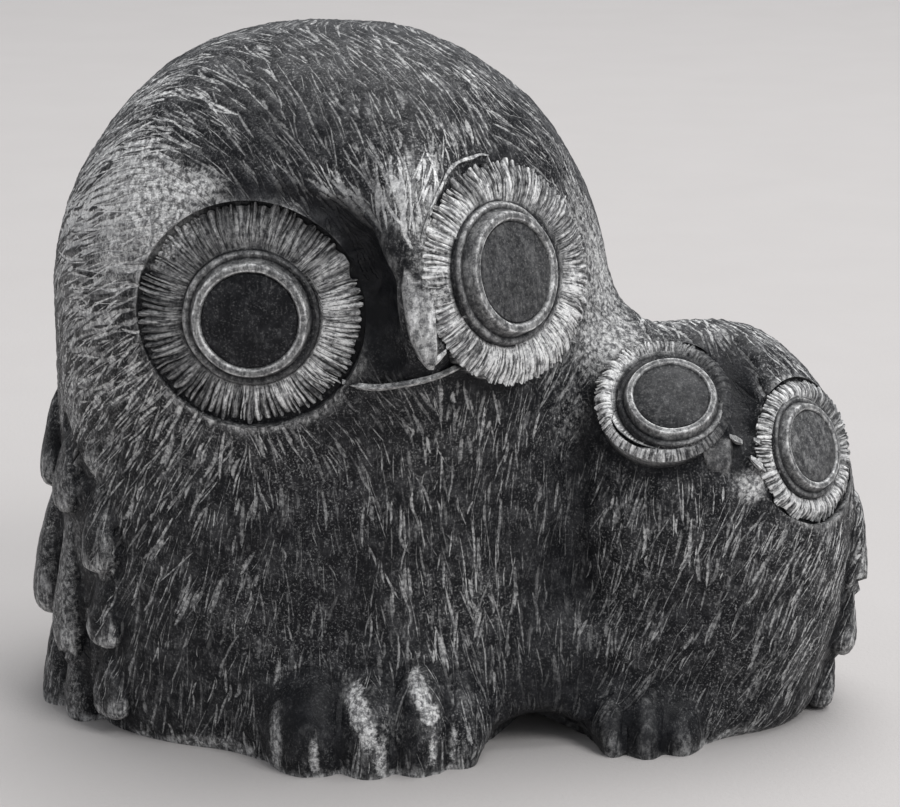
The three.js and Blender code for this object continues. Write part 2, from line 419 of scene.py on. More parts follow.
def snap(points, rounds):
    """Moves points onto the carved surface."""
    for _ in range(rounds):
        way = slope(stone_gap, points)
        gap = np.clip(stone_gap(points), -1.5, 1.5)
        points = points - way * (gap / np.maximum((way * way).sum(-1), 0.05))[:, None]
    return points


def rough_block():
    """Both smooth owls, their feathers and toes as one closed net."""
    bm = bmesh.new()
    add_ball(bm, parent_gap, PARENT_HEART)
    add_ball(bm, owlet_gap, OWLET_HEART)
    for oval in FEATHERS + TOE_OVALS:
        add_oval(bm, oval)
    block = object_from(bm, "owl_carving_stone")
    remesh = block.modifiers.new("even net", "REMESH")
    remesh.mode = "VOXEL"
    remesh.voxel_size = VOXEL
    applied(block)
    set_corners(block.data, snap(corners(block.data), 3))
    return block


# The way the front looks, and how far a face may turn from it before its net stays coarse.
FRONT = vec(0, -0.966, 0.26)
FRONT_SHARE = -0.2


def relax(bm, factor):
    bmesh.ops.smooth_vert(
        bm, verts=bm.verts, factor=factor, use_axis_x=True, use_axis_y=True, use_axis_z=True
    )


def refined(block):
    """Halves the net where the front shows it, drops what is under the table and relaxes."""
    bm = bmesh.new()
    bm.from_mesh(block.data)
    sunk = [v for v in bm.verts if v.co.z < SUNK]
    bmesh.ops.delete(bm, geom=sunk, context="VERTS")
    front = Vector(FRONT)
    fine = {e for f in bm.faces if f.normal.dot(front) > FRONT_SHARE for e in f.edges}
    bmesh.ops.subdivide_edges(bm, edges=list(fine), cuts=1, use_grid_fill=True)
    for _ in range(2):
        relax(bm, 0.5)
    bm.to_mesh(block.data)
    bm.free()
    for _ in range(3):
        set_corners(block.data, snap(corners(block.data), 1))
        bm = bmesh.new()
        bm.from_mesh(block.data)
        relax(bm, 0.35)
        bm.to_mesh(block.data)
        bm.free()
    set_corners(block.data, snap(corners(block.data), 1))
    return block


# ------------------------------------------------------------------ the lie of the feathers

# Guides for the scratched strokes: a place on the stone, the way its strokes run and how strong
# they are.
COMB = vec(
    [-17, -32, 116, -0.4, 0.6, 0.7, 0.35],
    [-26, -29, 119, -0.3, 0.7, 0.7, 0.35],
    [-35, -22, 123, -0.6, 0.7, 0.3, 0.42],
    [-12, -33, 114, -0.4, 0.6, 0.7, 0.3],
    [-4, -26, 119, -0.5, 0.5, 0.7, 0.38],
    [3, -17, 121, -0.7, 0.4, 0.6, 0.55],
    [13, -17, 113, -0.7, -0.4, 0.6, 0.4],
    [24, 4, 103, -0.3, 0.8, 0.6, 0.4],
    [26, -8, 91, -0.3, -0.1, 1.0, 0.6],
    [27, -13, 79, -0.5, -0.5, 0.6, 0.6],
    [-17, -38, 105, -0.6, 0.4, 0.7, 0.95],
    [-8, -38, 106, -0.1, 0.5, 0.9, 1.0],
    [-4, -37, 107, 0.3, 0.6, 0.8, 1.0],
    [2, -26, 116, -0.4, 0.4, 0.8, 0.42],
    [-32, -32, 114, -0.5, 0.5, 0.7, 0.3],
    [-43, -27, 118, -0.7, 0.6, 0.3, 0.6],
    [-57, -15, 116, -0.7, 0.5, -0.5, 0.8],
    [-61, -19, 109, -0.6, 0.6, -0.5, 0.9],
    [-63, -23, 102, -0.6, 0.6, -0.5, 1],
    [-64, -25, 97, -0.6, 0.8, -0.3, 1],
    [-63, -27, 90, -0.7, 0.7, -0.3, 0.95],
    [-61, -30, 85, -0.7, 0.6, -0.3, 0.9],
    [-60, -31, 78, -0.6, 0.6, -0.5, 0.85],
    [-57, -32, 72, -0.6, 0.5, -0.6, 0.75],
    [-53, -33, 65, -0.5, 0.4, -0.7, 0.65],
    [-46, -34, 61, -0.4, 0.3, -0.9, 0.6],
    [-27, -37, 63, -0.5, -0.2, 0.9, 0.4],
    [-18, -38, 65, -0.6, -0.2, 0.8, 0.36],
    [-21, -36, 42, 0.1, 0.0, -1.0, 0.3],
    [-39, -35, 34, -0.3, 0.1, -0.9, 0.35],
    [0, -34, 34, 0.1, 0.0, -1.0, 0.5],
    [-55, -30, 32, -0.4, 0.2, -0.9, 0.4],
    [12, -30, 52, -0.1, 0.0, -1.0, 0.38],
    [-27, -36, 23, 0.0, -0.1, -1.0, 0.25],
    [-47, -33, 18, -0.2, 0.1, -1.0, 0.3],
    [-9, -35, 52, 0.1, 0.0, -1.0, 0.48],
    [6, -33, 18, 0.1, -0.1, -1.0, 0.5],
    [33, -27, 49, -0.3, -0.1, -1.0, 0.45],
    [37, -29, 46, -0.1, -0.1, -1.0, 0.5],
    [44, -29, 48, 0.2, -0.2, -1.0, 0.5],
    [55, -29, 43, -0.5, -0.2, -0.9, 0.6],
    [51, -30, 40, -0.3, -0.1, -0.9, 0.5],
    [66, -25, 36, -0.4, -0.2, -0.9, 0.55],
    [75, -15, 35, -0.2, -0.5, -0.9, 0.7],
    [44, -30, 25, -0.4, 0.0, -0.9, 0.3],
    [59, -28, 24, -0.4, -0.1, -0.9, 0.4],
    [30, -27, 24, -0.3, 0.0, -0.9, 0.35],
    [53, -14, 72, -0.6, 0.6, 0.5, 0.7],
    [43, -11, 74, -0.2, 1.0, 0.2, 0.75],
    [62, -13, 69, -0.8, 0.1, 0.6, 0.7],
    [24, -20, 65, -0.6, -0.5, -0.7, 0.4],
    [20, -25, 38, -0.1, -0.1, -1.0, 0.2],
    [69, -21, 22, -0.4, -0.3, -0.9, 0.55],
    [52, -28, 10, -0.5, 0.0, -0.9, 0.3],
    # round the back, down from the crowns
    [-22, 12, 129, -0.3, -1.0, 0.0, 0.4],
    [-50, 8, 121, -0.9, -0.2, -0.5, 0.6],
    [5, 12, 119, -0.4, 0.9, -0.2, 0.5],
    [-22, 39, 105, 0.0, 0.6, -0.8, 0.5],
    [-22, 42, 70, 0.0, 0.0, 1.0, 0.45],
    [-62, 20, 92, -0.2, 0.3, -1.0, 0.6],
    [-68, 0, 80, -0.2, 0.5, -1.0, 0.6],
    [22, 20, 90, 0.2, 0.3, -1.0, 0.5],
    [-22, 43, 40, 0.0, 0.0, 1.0, 0.4],
    [-72, 5, 40, 0.0, 0.1, 1.0, 0.45],
    [46, 18, 45, 0.0, 0.1, 1.0, 0.45],
    [46, 8, 70, 0.0, 0.9, -0.4, 0.5],
    [73, 5, 40, 0.1, 0.0, 1.0, 0.45],
)


def comb_weights(points):
    away = ((points[:, None] - COMB[None, :, :3]) ** 2).sum(-1)
    return 1 / (away + 20) ** 2


def comb_direction(points, normals):
    """The way the strokes run at each point: the guides near it, whichever way they point."""
    way = COMB[:, 3:6] / np.linalg.norm(COMB[:, 3:6], axis=1)[:, None]
    spread = np.einsum("pg,gi,gj->pij", comb_weights(points), way, way)
    flat = np.eye(3) - normals[:, :, None] * normals[:, None, :]
    spread = flat @ spread @ flat
    return np.linalg.eigh(spread)[1][:, :, 2]


def comb_strength(points):
    weight = comb_weights(points)
    return (weight @ COMB[:, 6]) / weight.sum(-1)


# ------------------------------------------------------------------ eyes and beaks

class Eye:
    """A face disc of rays in its pocket, with a stepped eye standing on it.

    Tones go round from the right, upwards: the disc's paleness with painted light and shade by side,
    and the outer step's painted shading.
    Combed goes round in the same way: how deep the rays are cut.
    """

    def __init__(self, disc, boss, rays, tones, step_light_and_shade, pupil, combed):
        at, look, self.disc = disc
        self.disc_pose = pose_matrix(at, facing(*look))
        at, look, self.boss, self.rise = boss
        self.boss_pose = pose_matrix(at, facing(*look))
        self.rays = rays
        self.tones = tones
        self.step_light_and_shade = step_light_and_shade
        self.pupil = pupil
        self.combed = combed


def round_tone(tones, angle):
    """The tone at an angle, from values spaced evenly round a turn."""
    place = (angle / (2 * math.pi) % 1) * len(tones)
    i = int(place) % len(tones)
    share = place - int(place)
    return tones[i] * (1 - share) + tones[(i + 1) % len(tones)] * share


# Each eye's tones paint its disc lighter and darker by side over the rays' own paleness; its step light
# and shade is painted round the outer step.
EYES = [
    Eye(
        disc=((-35.1, -36.5, 83.6), (-4, 0), 19.6),
        boss=((-34.9, -36.5, 83.2), (-2, 1), 12.1, 3.6),
        rays=104,
        tones=[1.25, 0.8, 0.45, 0.45, 0.4, 0.4, 0.42, 0.4, 0.65, 1.0, 1.1, 1.2],
        step_light_and_shade=[0.1, 0.1, 0.2, 0.5, 0.8, 0.8, 0.8, 0.7, 0.5, 0.3, 0.15, 0.1],
        pupil=0.0,
        combed=(0.75, 0.8, 0.8, 0.6, 0.8, 1, 1, 1, 1, 1, 0.9, 0.8),
    ),
    Eye(
        disc=((10.8, -33, 90.4), (43, 12), 19.8),
        boss=((9.2, -34.1, 90.5), (47, 13), 12.7, 3.8),
        rays=104,
        tones=[1.8, 1.1, 0.7, 0.8, 1.1, 1.2, 1.25, 1.3, 1.4, 1.6, 1.8, 1.9],
        step_light_and_shade=[0.3, 0.4, 0.5, 0.7, 1.0, 0.9, 0.6, 0.4, 0.45, 0.5, 0.4, 0.3],
        pupil=0.11,
        combed=(0.6, 0.8, 0.8, 0.9, 1, 1, 0.9, 0.9, 0.8, 0.7, 0.7, 0.6),
    ),
    Eye(
        disc=((38.8, -24, 65.2), (-3, 43), 12.6),
        boss=((40, -24.4, 64.4), (0, 48), 9.7, 2.6),
        rays=92,
        tones=[0.04, 0.1, 0.35, 1.1, 1.8, 2.2, 2.0, 1.4, 1.0, 0.8, 0.4, 0.08],
        step_light_and_shade=[0.4, 0.3, 0.2, 0.1, 0.08, 0.05, 0.05, 0.05, 0.1, 0.3, 0.8, 0.8],
        pupil=0.07,
        combed=(0.1, 0.2, 0.5, 0.7, 0.8, 0.7, 0.6, 0.25, 0.05, 0.05, 0.05, 0.05),
    ),
    Eye(
        disc=((65.9, -19.2, 54), (46, 18), 13.2),
        boss=((65, -19.8, 54.6), (49, 20), 9.4, 2.4),
        rays=92,
        tones=[1.1, 1.1, 0.8, 0.5, 0.8, 1.1, 1.1, 1.2, 1.7, 2.2, 2.0, 1.4],
        step_light_and_shade=[0.3, 0.3, 0.3, 0.4, 0.4, 0.35, 0.35, 0.35, 0.35, 0.35, 0.3, 0.3],
        pupil=0.2,
        combed=(0.9, 0.9, 0.7, 0.7, 0.6, 0.5, 0.6, 0.7, 0.7, 0.7, 0.7, 0.8),
    ),
]
# How far a disc's edge falls below its middle, and the gap left round and under it.
DROP = 1.0
MOAT = 0.7
# The eye's steps, as shares of its radius and of its rise: radius, height, paleness.  The outer
# step's paleness is scaled round it by the eye's painted light and shade.
EYE_STEPS = [
    (1.02, -0.5, 0.05),
    (1.0, 0.2, 0.1),
    (0.985, 0.32, 0.8),
    (0.955, 0.38, 1.0),
    (0.925, 0.34, 0.6),
    (0.895, 0.3, 0.1),
    (0.865, 0.5, 0.22),
    (0.845, 0.82, 0.4),
    (0.828, 0.96, 1.0),
    (0.80, 1.0, 0.4),
    (0.76, 1.0, 0.4),
    (0.735, 0.97, 1.15),
    (0.715, 0.84, 0.3),
    (0.70, 0.8, 0.02),
    (0.685, 0.86, -1),
    (0.45, 0.96, -1),
    (0.2, 1.02, -1),
    (0.0, 1.04, -1),
]


def pocket_for(eye):
    """The tool that cuts a disc's pocket into the head, wider outwards."""
    deep = -DROP - MOAT
    gap = MOAT * min(1, eye.disc / 22)
    profile = [(0, deep), (eye.disc + gap, deep), (eye.disc + 2.0 * gap, 3), (eye.disc + 9, 26)]
    profile.append((0, 26))
    bm = turned_on_z(profile, 96)
    bmesh.ops.transform(bm, matrix=eye.disc_pose, verts=bm.verts)
    return object_from(bm, "pocket")


# Where a ray's groove, shoulders and crest lie, as shares of its width.
RAY_COLUMNS = (0, 0.22, 0.5, 0.78)


def disc_of_rays(eye):
    """The disc is turned in four columns to a ray: its groove, two shoulders and its crest."""
    inner, rim = eye.boss, eye.disc
    floor = -DROP - MOAT
    profile = [(0, -9), (rim - 1.2, -9), (rim - 0.8, floor), (rim - 0.35, floor + 0.35)]
    for share in (1.0, 0.96, 0.86, 0.72, 0.56, 0.4, 0.25, 0.12, 0.0):
        rise = 0.45 * math.sin(math.pi * min(share * 1.15, 1)) - DROP * share ** 4
        profile.append((inner + (rim - inner) * share, rise))
    profile += [(inner - 1, 0), (0, 0)]
    columns = len(RAY_COLUMNS) * eye.rays
    bm = turned_on_z(profile, columns)
    paleness = bm.verts.layers.float.new("pale")
    turn_of = bm.verts.layers.float.new("turn")
    out_of = bm.verts.layers.float.new("out")
    widths = np.array([random.lognormvariate(0, 0.36) for _ in range(eye.rays)])
    starts = np.concatenate([[0], np.cumsum(widths)]) * 2 * math.pi / widths.sum()
    longer = [random.gauss(0, 0.42) for _ in range(eye.rays)]
    bright = [random.uniform(0.3, 1.3) for _ in range(eye.rays)]
    depths = [random.choice((0.12, 0.3, 0.45, 0.6)) for _ in range(eye.rays)]
    begins = [random.choice((0.08, 0.18, 0.28, 0.4)) for _ in range(eye.rays)]
    spread = 2 * math.pi / columns
    for v in bm.verts:
        r = math.hypot(v.co.x, v.co.y)
        if r < inner - 0.5 or v.co.z < floor - 0.1:
            continue
        column = round(math.atan2(v.co.y, v.co.x) / spread) % columns
        ray, part = divmod(column, len(RAY_COLUMNS))
        share = min(max((r - inner) / (rim - inner), 0), 1)
        outer = max(share - 0.6, 0) / 0.4
        within_ray = RAY_COLUMNS[part] + (0, 0.1, 0, -0.1)[part] * outer
        angle = starts[ray] + (starts[ray + 1] - starts[ray]) * within_ray
        lean = noise.noise(Vector((math.cos(angle) * 3, math.sin(angle) * 3, inner)))
        wiggle = noise.noise(Vector((math.cos(angle) * 9, math.sin(angle) * 9, share * 2)))
        angle += (0.1 * lean + 0.035 * wiggle) * share
        combed = round_tone(eye.combed, angle)
        cut = min(max((share - begins[ray]) / 0.3, 0), 1) * combed
        # The tone by side is partly painted light and shade.
        tone = round_tone(eye.tones, angle) * (1 - combed + combed * bright[ray])
        if part == 0:
            depth = depths[ray] * cut * (0.6 + 0.9 * share)
            r -= 0.7 * outer ** 2 * combed
            v[paleness] = tone * (1 - cut) * 0.7
        else:
            depth = 0 if part == 2 else 0.12 * cut
            r += longer[ray] * outer * combed
            shoulder = 1 - 0.4 * cut
            v[paleness] = tone * (0.5 + 0.5 * min(share * 4, 1)) * (1 if part == 2 else shoulder)
        v[turn_of] = angle * rim
        v[out_of] = r
        v.co.x = r * math.cos(angle)
        v.co.y = r * math.sin(angle)
        v.co.z -= depth
    bmesh.ops.transform(bm, matrix=eye.disc_pose, verts=bm.verts)
    return object_from(bm, "disc")


def boss_of(eye):
    """The raised eye, turned in steps, with a slight waver."""
    profile = [(0, -4), (eye.boss * 0.99, -4)]
    profile += [(eye.boss * r, eye.rise * h) for r, h, _ in EYE_STEPS]
    bm = turned_on_z(profile, 104)
    paleness = bm.verts.layers.float.new("pale")
    steps = sorted((r * eye.boss, pale if pale >= 0 else eye.pupil) for r, _, pale in EYE_STEPS)
    radii = [r for r, _ in steps]
    pales = [pale for _, pale in steps]
    for v in bm.verts:
        r = math.hypot(v.co.x, v.co.y)
        angle = math.atan2(v.co.y, v.co.x)
        tone = float(np.interp(r, radii, pales)) if v.co.z > -3 else 0
        # Painted light and shade round the outer step.
        if r > eye.boss * 0.88:
            tone *= round_tone(eye.step_light_and_shade, angle)
        v[paleness] = tone
        waver = 1 + 0.012 * noise.noise(Vector((math.cos(angle) * 2, math.sin(angle) * 2, eye.boss)))
        v.co.x *= waver
        v.co.y *= waver
    bmesh.ops.transform(bm, matrix=eye.boss_pose, verts=bm.verts)
    return object_from(bm, "boss")


def eased(stations, count):
    """Puts more stations between the given ones, on a smooth line."""
    table = vec(*stations)
    t = np.linspace(0, len(table) - 1, count)
    out = []
    for value in t:
        i = min(int(value), len(table) - 2)
        u = value - i
        p = [table[max(i - 1, 0)], table[i], table[i + 1], table[min(i + 2, len(table) - 1)]]
        out.append(
            0.5 * (2 * p[1] + (p[2] - p[0]) * u + (2 * p[0] - 5 * p[1] + 4 * p[2] - p[3]) * u ** 2
                   + (3 * p[1] - p[0] - 3 * p[2] + p[3]) * u ** 3)
        )
    return out


# A section is drawn along two ways, as shares of a station's size.
LIP_SECTION = [(0, 0.88), (0.6, 0), (0, -0.88), (-0.6, 0)]
BEAK_SECTION = [
    (-1.0, -3.2),
    (-1.0, -0.5),
    (-0.86, -0.14),
    (-0.6, 0),
    (0.5, 0.1),
    (0.86, -0.06),
    (1.04, -0.5),
    (1.1, -3.2),
]
# Stations of the small parts of the faces: x, y, z and size.
PARENT_LIP = [
    (-19, -37.6, 71.6, 1),
    (-14, -40.2, 71.4, 1),
    (-8.7, -41.6, 72.2, 1),
    (-2, -41.4, 73.8, 1),
    (4.5, -38.6, 76.4, 1),
]
PARENT_BEAK = [
    (-4.0, -37.6, 107.0, 1.8),
    (-5.0, -40.6, 102.6, 2.5),
    (-5.5, -43.2, 97.6, 2.7),
    (-5.4, -45.2, 92.2, 2.8),
    (-4.8, -46.8, 86.6, 2.7),
    (-4.1, -47.8, 81.6, 2.2),
    (-3.5, -48.0, 78.4, 1.4),
    (-3.2, -47.4, 76.4, 0.5),
]
PARENT_NICK = [(-3.6, -46.8, 77.0, 0.9), (-2.2, -46.8, 78.0, 1.2), (-0.6, -46.0, 79.4, 0.7)]
OWLET_BEAK = [
    (48.2, -27.2, 58.4, 3.0),
    (48.3, -28.3, 56.4, 2.9),
    (48.5, -28.8, 54.0, 2.5),
    (48.7, -28.4, 52.0, 2.1),
    (48.9, -27.2, 50.2, 1.5),
]
# The crack across the owlet's left disc, on the disc's own plane.
CRACK = [(-9.2, -2.6), (-9.6, -4.6), (-8.4, -7.0), (-5.6, -9.4), (-2.0, -10.6)]
# Chips left round the owlet's beak: stations and paleness.
CHIPS = [
    ([(54.4, -28.0, 55.0, 0.9), (55.8, -28.4, 53.8, 1.6), (57.2, -27.6, 52.6, 0.9)], 1.0),
    ([(50.6, -26.6, 58.6, 0.8), (51.8, -26.6, 58.0, 1.3), (53.0, -26.2, 57.4, 0.8)], 0.6),
    ([(55.0, -26.2, 58.0, 0.7), (56.0, -26.2, 57.4, 1.1), (57.0, -25.8, 56.8, 0.7)], 0.8),
]


def swept(name, stations, section, across, out, tone):
    """The section carried along the stations, x, y, z and size."""
    bm = bmesh.new()
    paleness = bm.verts.layers.float.new("pale")
    rings = []
    for *at, size in eased(stations, 6 * len(stations)):
        ring = []
        for a, b in section:
            v = bm.verts.new(vec(*at) + (across * a + out * b) * size)
            v[paleness] = tone
            ring.append(v)
        rings.append([bm.edges.new((ring[i - 1], ring[i])) for i in range(len(ring))])
        if len(rings) > 1:
            bmesh.ops.bridge_loops(bm, edges=rings[-2] + rings[-1])
    bmesh.ops.holes_fill(bm, edges=rings[0] + rings[-1], sides=0)
    bmesh.ops.recalc_face_normals(bm, faces=bm.faces)
    return object_from(bm, name)


UP = vec(0, 0, 1)


def ledge(name, stations, tone):
    return swept(name, stations, LIP_SECTION, UP, facing(0), tone)


def beak(name, stations, azimuth, tone):
    return swept(name, stations, BEAK_SECTION, facing(azimuth + 90), facing(azimuth), tone)


def brow_rim(eye, first, last):
    """Stations along the rim above a disc, between two angles in degrees."""
    out = []
    axis = vec(*eye.disc_pose.to_3x3().col[2])
    for share in np.linspace(0, 1, 15):
        angle = math.radians(first + (last - first) * share)
        r = eye.disc + 1.2 + random.uniform(-0.15, 0.15)
        at = vec(*(eye.disc_pose @ Vector((r * math.cos(angle), r * math.sin(angle), -14))))
        at = at + axis * (reach(stone_gap, at[None], axis[None])[0] + 0.1)
        ragged = random.uniform(0.75, 1.25)
        out.append((*at, ragged * (0.5 + 0.6 * math.sin(math.pi * share))))
    return out


def face_parts():
    parts = []
    for eye in EYES:
        parts += [disc_of_rays(eye), boss_of(eye)]
    parts.append(beak("parent_beak", PARENT_BEAK, azimuth=16, tone=0.8))
    parts.append(ledge("nick", PARENT_NICK, tone=1.5))
    parts.append(beak("owlet_beak", OWLET_BEAK, azimuth=4, tone=0.24))
    parts.append(ledge("lip", PARENT_LIP, tone=1.0))
    parts.append(ledge("brow_rim", brow_rim(EYES[1], first=128, last=200), tone=0.8))
    parts += [ledge("chip", stations, tone) for stations, tone in CHIPS]
    return parts


def crack(eye):
    """The tool that cuts the crack into a disc."""
    turn = eye.disc_pose.to_3x3()
    sizes = [0.3, *[0.85] * (len(CRACK) - 2), 0.3]
    stations = []
    for (x, y), size in zip(CRACK, sizes):
        stations.append((*(eye.disc_pose @ Vector((x, y, 0.1))), size))
    return swept("crack", stations, LIP_SECTION, vec(*turn.col[1]), vec(*turn.col[2]), 0)


# ------------------------------------------------------------------ scratched strokes

# Where strokes thin out or stop: place, radii, share left.
BARE = [
    (vec(27, -10, 73), vec(9, 9, 9), 0.1),
    (vec(20, -24, 58), vec(6, 8, 9), 0.3),
    (vec(-12, -44, 88), vec(7, 8, 16), 0.0),
    (vec(-4, -44, 86), vec(7, 7, 14), 0.0),
    (vec(-26, -42, 8), vec(11, 9, 10), 0.12),
    (vec(-8, -42, 8), vec(11, 9, 9), 0.3),
    (vec(36, -34, 3), vec(10, 8, 6), 0.1),
    (vec(53, -30, 57), vec(7, 8, 10), 0.1),
    (vec(54, -20, 70), vec(6, 9, 7), 0.1),
    (vec(-72, -14, 30), vec(14, 13, 28), 0.1),
    (vec(-76, 12, 34), vec(12, 26, 32), 0.12),
    (vec(76, 4, 24), vec(10, 12, 22), 0.3),
    (vec(-24, 46, 18), vec(26, 10, 22), 0.2),
]
# At most one stroke starts in each cube of this side.
STROKE_CELL = 1.35


class Strokes:
    """Where each stroke starts, the way it runs and its size."""

    def __init__(self, mesh):
        points = corners(mesh)
        normals = np.array([v.normal for v in mesh.vertices])
        strength = comb_strength(points)
        order = list(range(len(points)))
        random.shuffle(order)
        taken = set()
        chosen = []
        for i in order:
            p = points[i]
            if p[2] < 0.5:
                continue
            cell = tuple((p // STROKE_CELL).astype(int))
            if cell in taken:
                continue
            taken.add(cell)
            if random.random() > 0.14 + 0.66 * strength[i] ** 1.3 or self.off_the_stone(p):
                continue
            chosen.append(i)
        self.start = points[chosen]
        self.normal = normals[chosen]
        way = comb_direction(self.start, self.normal)
        side = np.cross(self.normal, way)
        count = len(chosen)
        rng = np.random.default_rng(11)
        swing = np.radians(rng.normal(0, 9, count))[:, None]
        self.way = way * np.cos(swing) + side * np.sin(swing)
        self.side = np.cross(self.normal, self.way)
        power = strength[chosen]
        hair = rng.random(count) < 0.35 + 0.3 * (1 - power)
        self.length = np.clip(rng.lognormal(1.5, 0.4, count), 1.8, 10) * (0.85 + 0.5 * power)
        self.half = np.clip(rng.lognormal(-1.42, 0.34, count), 0.13, 0.46)
        self.half = np.where(hair, self.half * 0.5, self.half) * (0.8 + 0.45 * power ** 2)
        self.bend = rng.normal(0, 1.1, count)
        self.bright = np.clip(rng.beta(1.6, 1.4, count) * (0.16 + 1.2 * power), 0.08, 1)
        self.start = self.start - self.way * self.length[:, None] / 2

    def off_the_stone(self, p):
        for eye in EYES:
            q = eye.disc_pose.inverted() @ Vector(p)
            if math.hypot(q.x, q.y) < eye.disc + 1.5 and q.z > -8:
                return True
        for centre, radii, share in BARE:
            q = (p - centre) / radii
            if q @ q < 1 and random.random() > share:
                return True
        return False

    def near(self, tree, margin):
        """Pairs of a point in the tree and a stroke that passes it."""
        found = []
        for k in range(len(self.start)):
            a, way, length = self.start[k], self.way[k], self.length[k]
            span = self.half[k] + abs(self.bend[k]) * self.half[k] + margin
            steps = max(2, int(length / span) + 1)
            hits = set()
            for i in range(steps + 1):
                spot = a + way * (length * i / steps)
                hits.update(index for _, index, _ in tree.find_range(Vector(spot), span * 1.15))
            found += [(index, k) for index in hits]
        pairs = np.array(sorted(found))
        return pairs[:, 0], pairs[:, 1]

    def place(self, points, k):
        """Across the stroke in half widths, and along it from 0 to 1."""
        away = points - self.start[k]
        across = (away * self.side[k]).sum(-1) / self.half[k]
        along = (away * self.way[k]).sum(-1) / self.length[k]
        return across, along


def tree_of(points):
    tree = kdtree.KDTree(len(points))
    for i, p in enumerate(points):
        tree.insert(p, i)
    tree.balance()
    return tree


# The chisel's waver: the height and length of each wave, and its place in the noise.
WAVER = [(0.42, 13, (0, 0, 0)), (0.16, 4.2, (9, 3, 5))]


def relieved(block, strokes):
    """Cuts the strokes and the chisel's waver into the stone."""
    points = corners(block.data)
    normals = np.array([v.normal for v in block.data.vertices])
    index, k = strokes.near(tree_of(points), 0.75)
    across, along = strokes.place(points[index], k)
    bow = 1 - (2 * along - 1) ** 2
    off = np.abs(across - strokes.bend[k] * bow) * strokes.half[k]
    ends = np.clip(bow * 1.6, 0, 1)
    cut = np.exp(-((off / 0.5) ** 2)) * ends * (0.12 + 0.24 * strokes.bright[k])
    bank = np.exp(-(((off - 0.95) / 0.45) ** 2)) * ends * 0.10
    depth = np.zeros(len(points))
    np.maximum.at(depth, index, cut)
    lift = np.zeros(len(points))
    np.maximum.at(lift, index, bank)
    wave = np.array([
        sum(height * noise.noise(Vector(p) / length + Vector(shift)) for height, length, shift in WAVER)
        for p in points
    ])
    ease = np.clip(points[:, 2] / 3, 0, 1)
    move = (wave - depth + lift) * ease
    set_corners(block.data, points + normals * move[:, None])


def based(block):
    """Cuts the block off flat at the table."""
    bm = bmesh.new()
    bm.from_mesh(block.data)
    everything = bm.verts[:] + bm.edges[:] + bm.faces[:]
    bmesh.ops.bisect_plane(
        bm, geom=everything, dist=1e-4, plane_co=(0, 0, 0), plane_no=(0, 0, -1), clear_outer=True
    )
    rim = [e for e in bm.edges if e.is_boundary]
    bmesh.ops.holes_fill(bm, edges=rim, sides=0)
    bmesh.ops.triangulate(bm, faces=[f for f in bm.faces if len(f.verts) > 4])
    bm.to_mesh(block.data)
    bm.free()


# ------------------------------------------------------------------ paint for the material

# Spots rubbed pale, on the beak's right face painted light, and spots of painted shade: place, radii,
# share.
PALE_SPOTS = [
    (vec(-51, -31, 101), vec(7, 8, 8), 1.1),
    (vec(-45, -34, 106), vec(6, 6, 3), 0.75),
    (vec(-58, -28, 94), vec(5, 6, 9), 0.75),
    (vec(-57, -27, 104), vec(6, 6, 6), 0.5),
    (vec(-8, -40, 104), vec(4, 5, 7), 0.4),
    # These two paint light on the beak's right face.
    (vec(-4.0, -42, 98), vec(3.4, 5, 7), 0.6),
    (vec(-2.6, -44, 90), vec(2.4, 6, 12), 0.5),
    (vec(-64, -22, 88), vec(10, 14, 24), 0.16),
    (vec(-80, -4, 30), vec(7, 14, 34), 0.26),
    (vec(-73, -16, 28), vec(5, 8, 32), 0.34),
    (vec(27, -12, 74), vec(9, 10, 7), 0.6),
    (vec(22, -22, 62), vec(5, 6, 9), 0.25),
    (vec(27, -8, 84), vec(6, 9, 12), 0.6),
    (vec(25, -12, 96), vec(5, 8, 8), 0.4),
    (vec(-17.8, -44, 15), vec(2.0, 6, 2.8), 1.2),
    (vec(-16.4, -46, 12), vec(1.8, 6, 2.6), 1.2),
    (vec(-14.8, -47, 8.6), vec(1.5, 5, 2.8), 1.0),
    (vec(-13.0, -47, 4.6), vec(0.9, 4, 4), 0.5),
    (vec(-6.2, -43, 17), vec(1.4, 6, 2.6), 0.95),
    (vec(-4.8, -44.6, 14.4), vec(1.4, 5, 2.2), 0.95),
    (vec(-3.4, -45.6, 11.6), vec(1.5, 4, 1.6), 1.6),
    (vec(-24.4, -47, 3.6), vec(0.8, 3, 4.5), 0.95),
    (vec(-18.6, -48, 3.6), vec(0.8, 3, 4.5), 0.85),
    (vec(-12, -47, 3.6), vec(0.7, 3, 4.5), 0.8),
    (vec(-10.4, -44, 10), vec(2.4, 6, 6), 0.3),
    (vec(-3.0, -46, 5), vec(0.7, 3, 3.5), 0.85),
    (vec(0.6, -42, 5), vec(0.7, 3, 4), 0.7),
    (vec(-31.5, -42, 6), vec(1.2, 5, 7), 0.6),
    (vec(54.6, -29, 50), vec(3.2, 4, 2.8), 0.75),
    (vec(28, -26, 66), vec(3, 4, 3), 0.4),
    (vec(-72, -17, 60), vec(4, 5, 4), 0.5),
    (vec(-66, -22, 51), vec(3, 5, 5), 0.4),
]
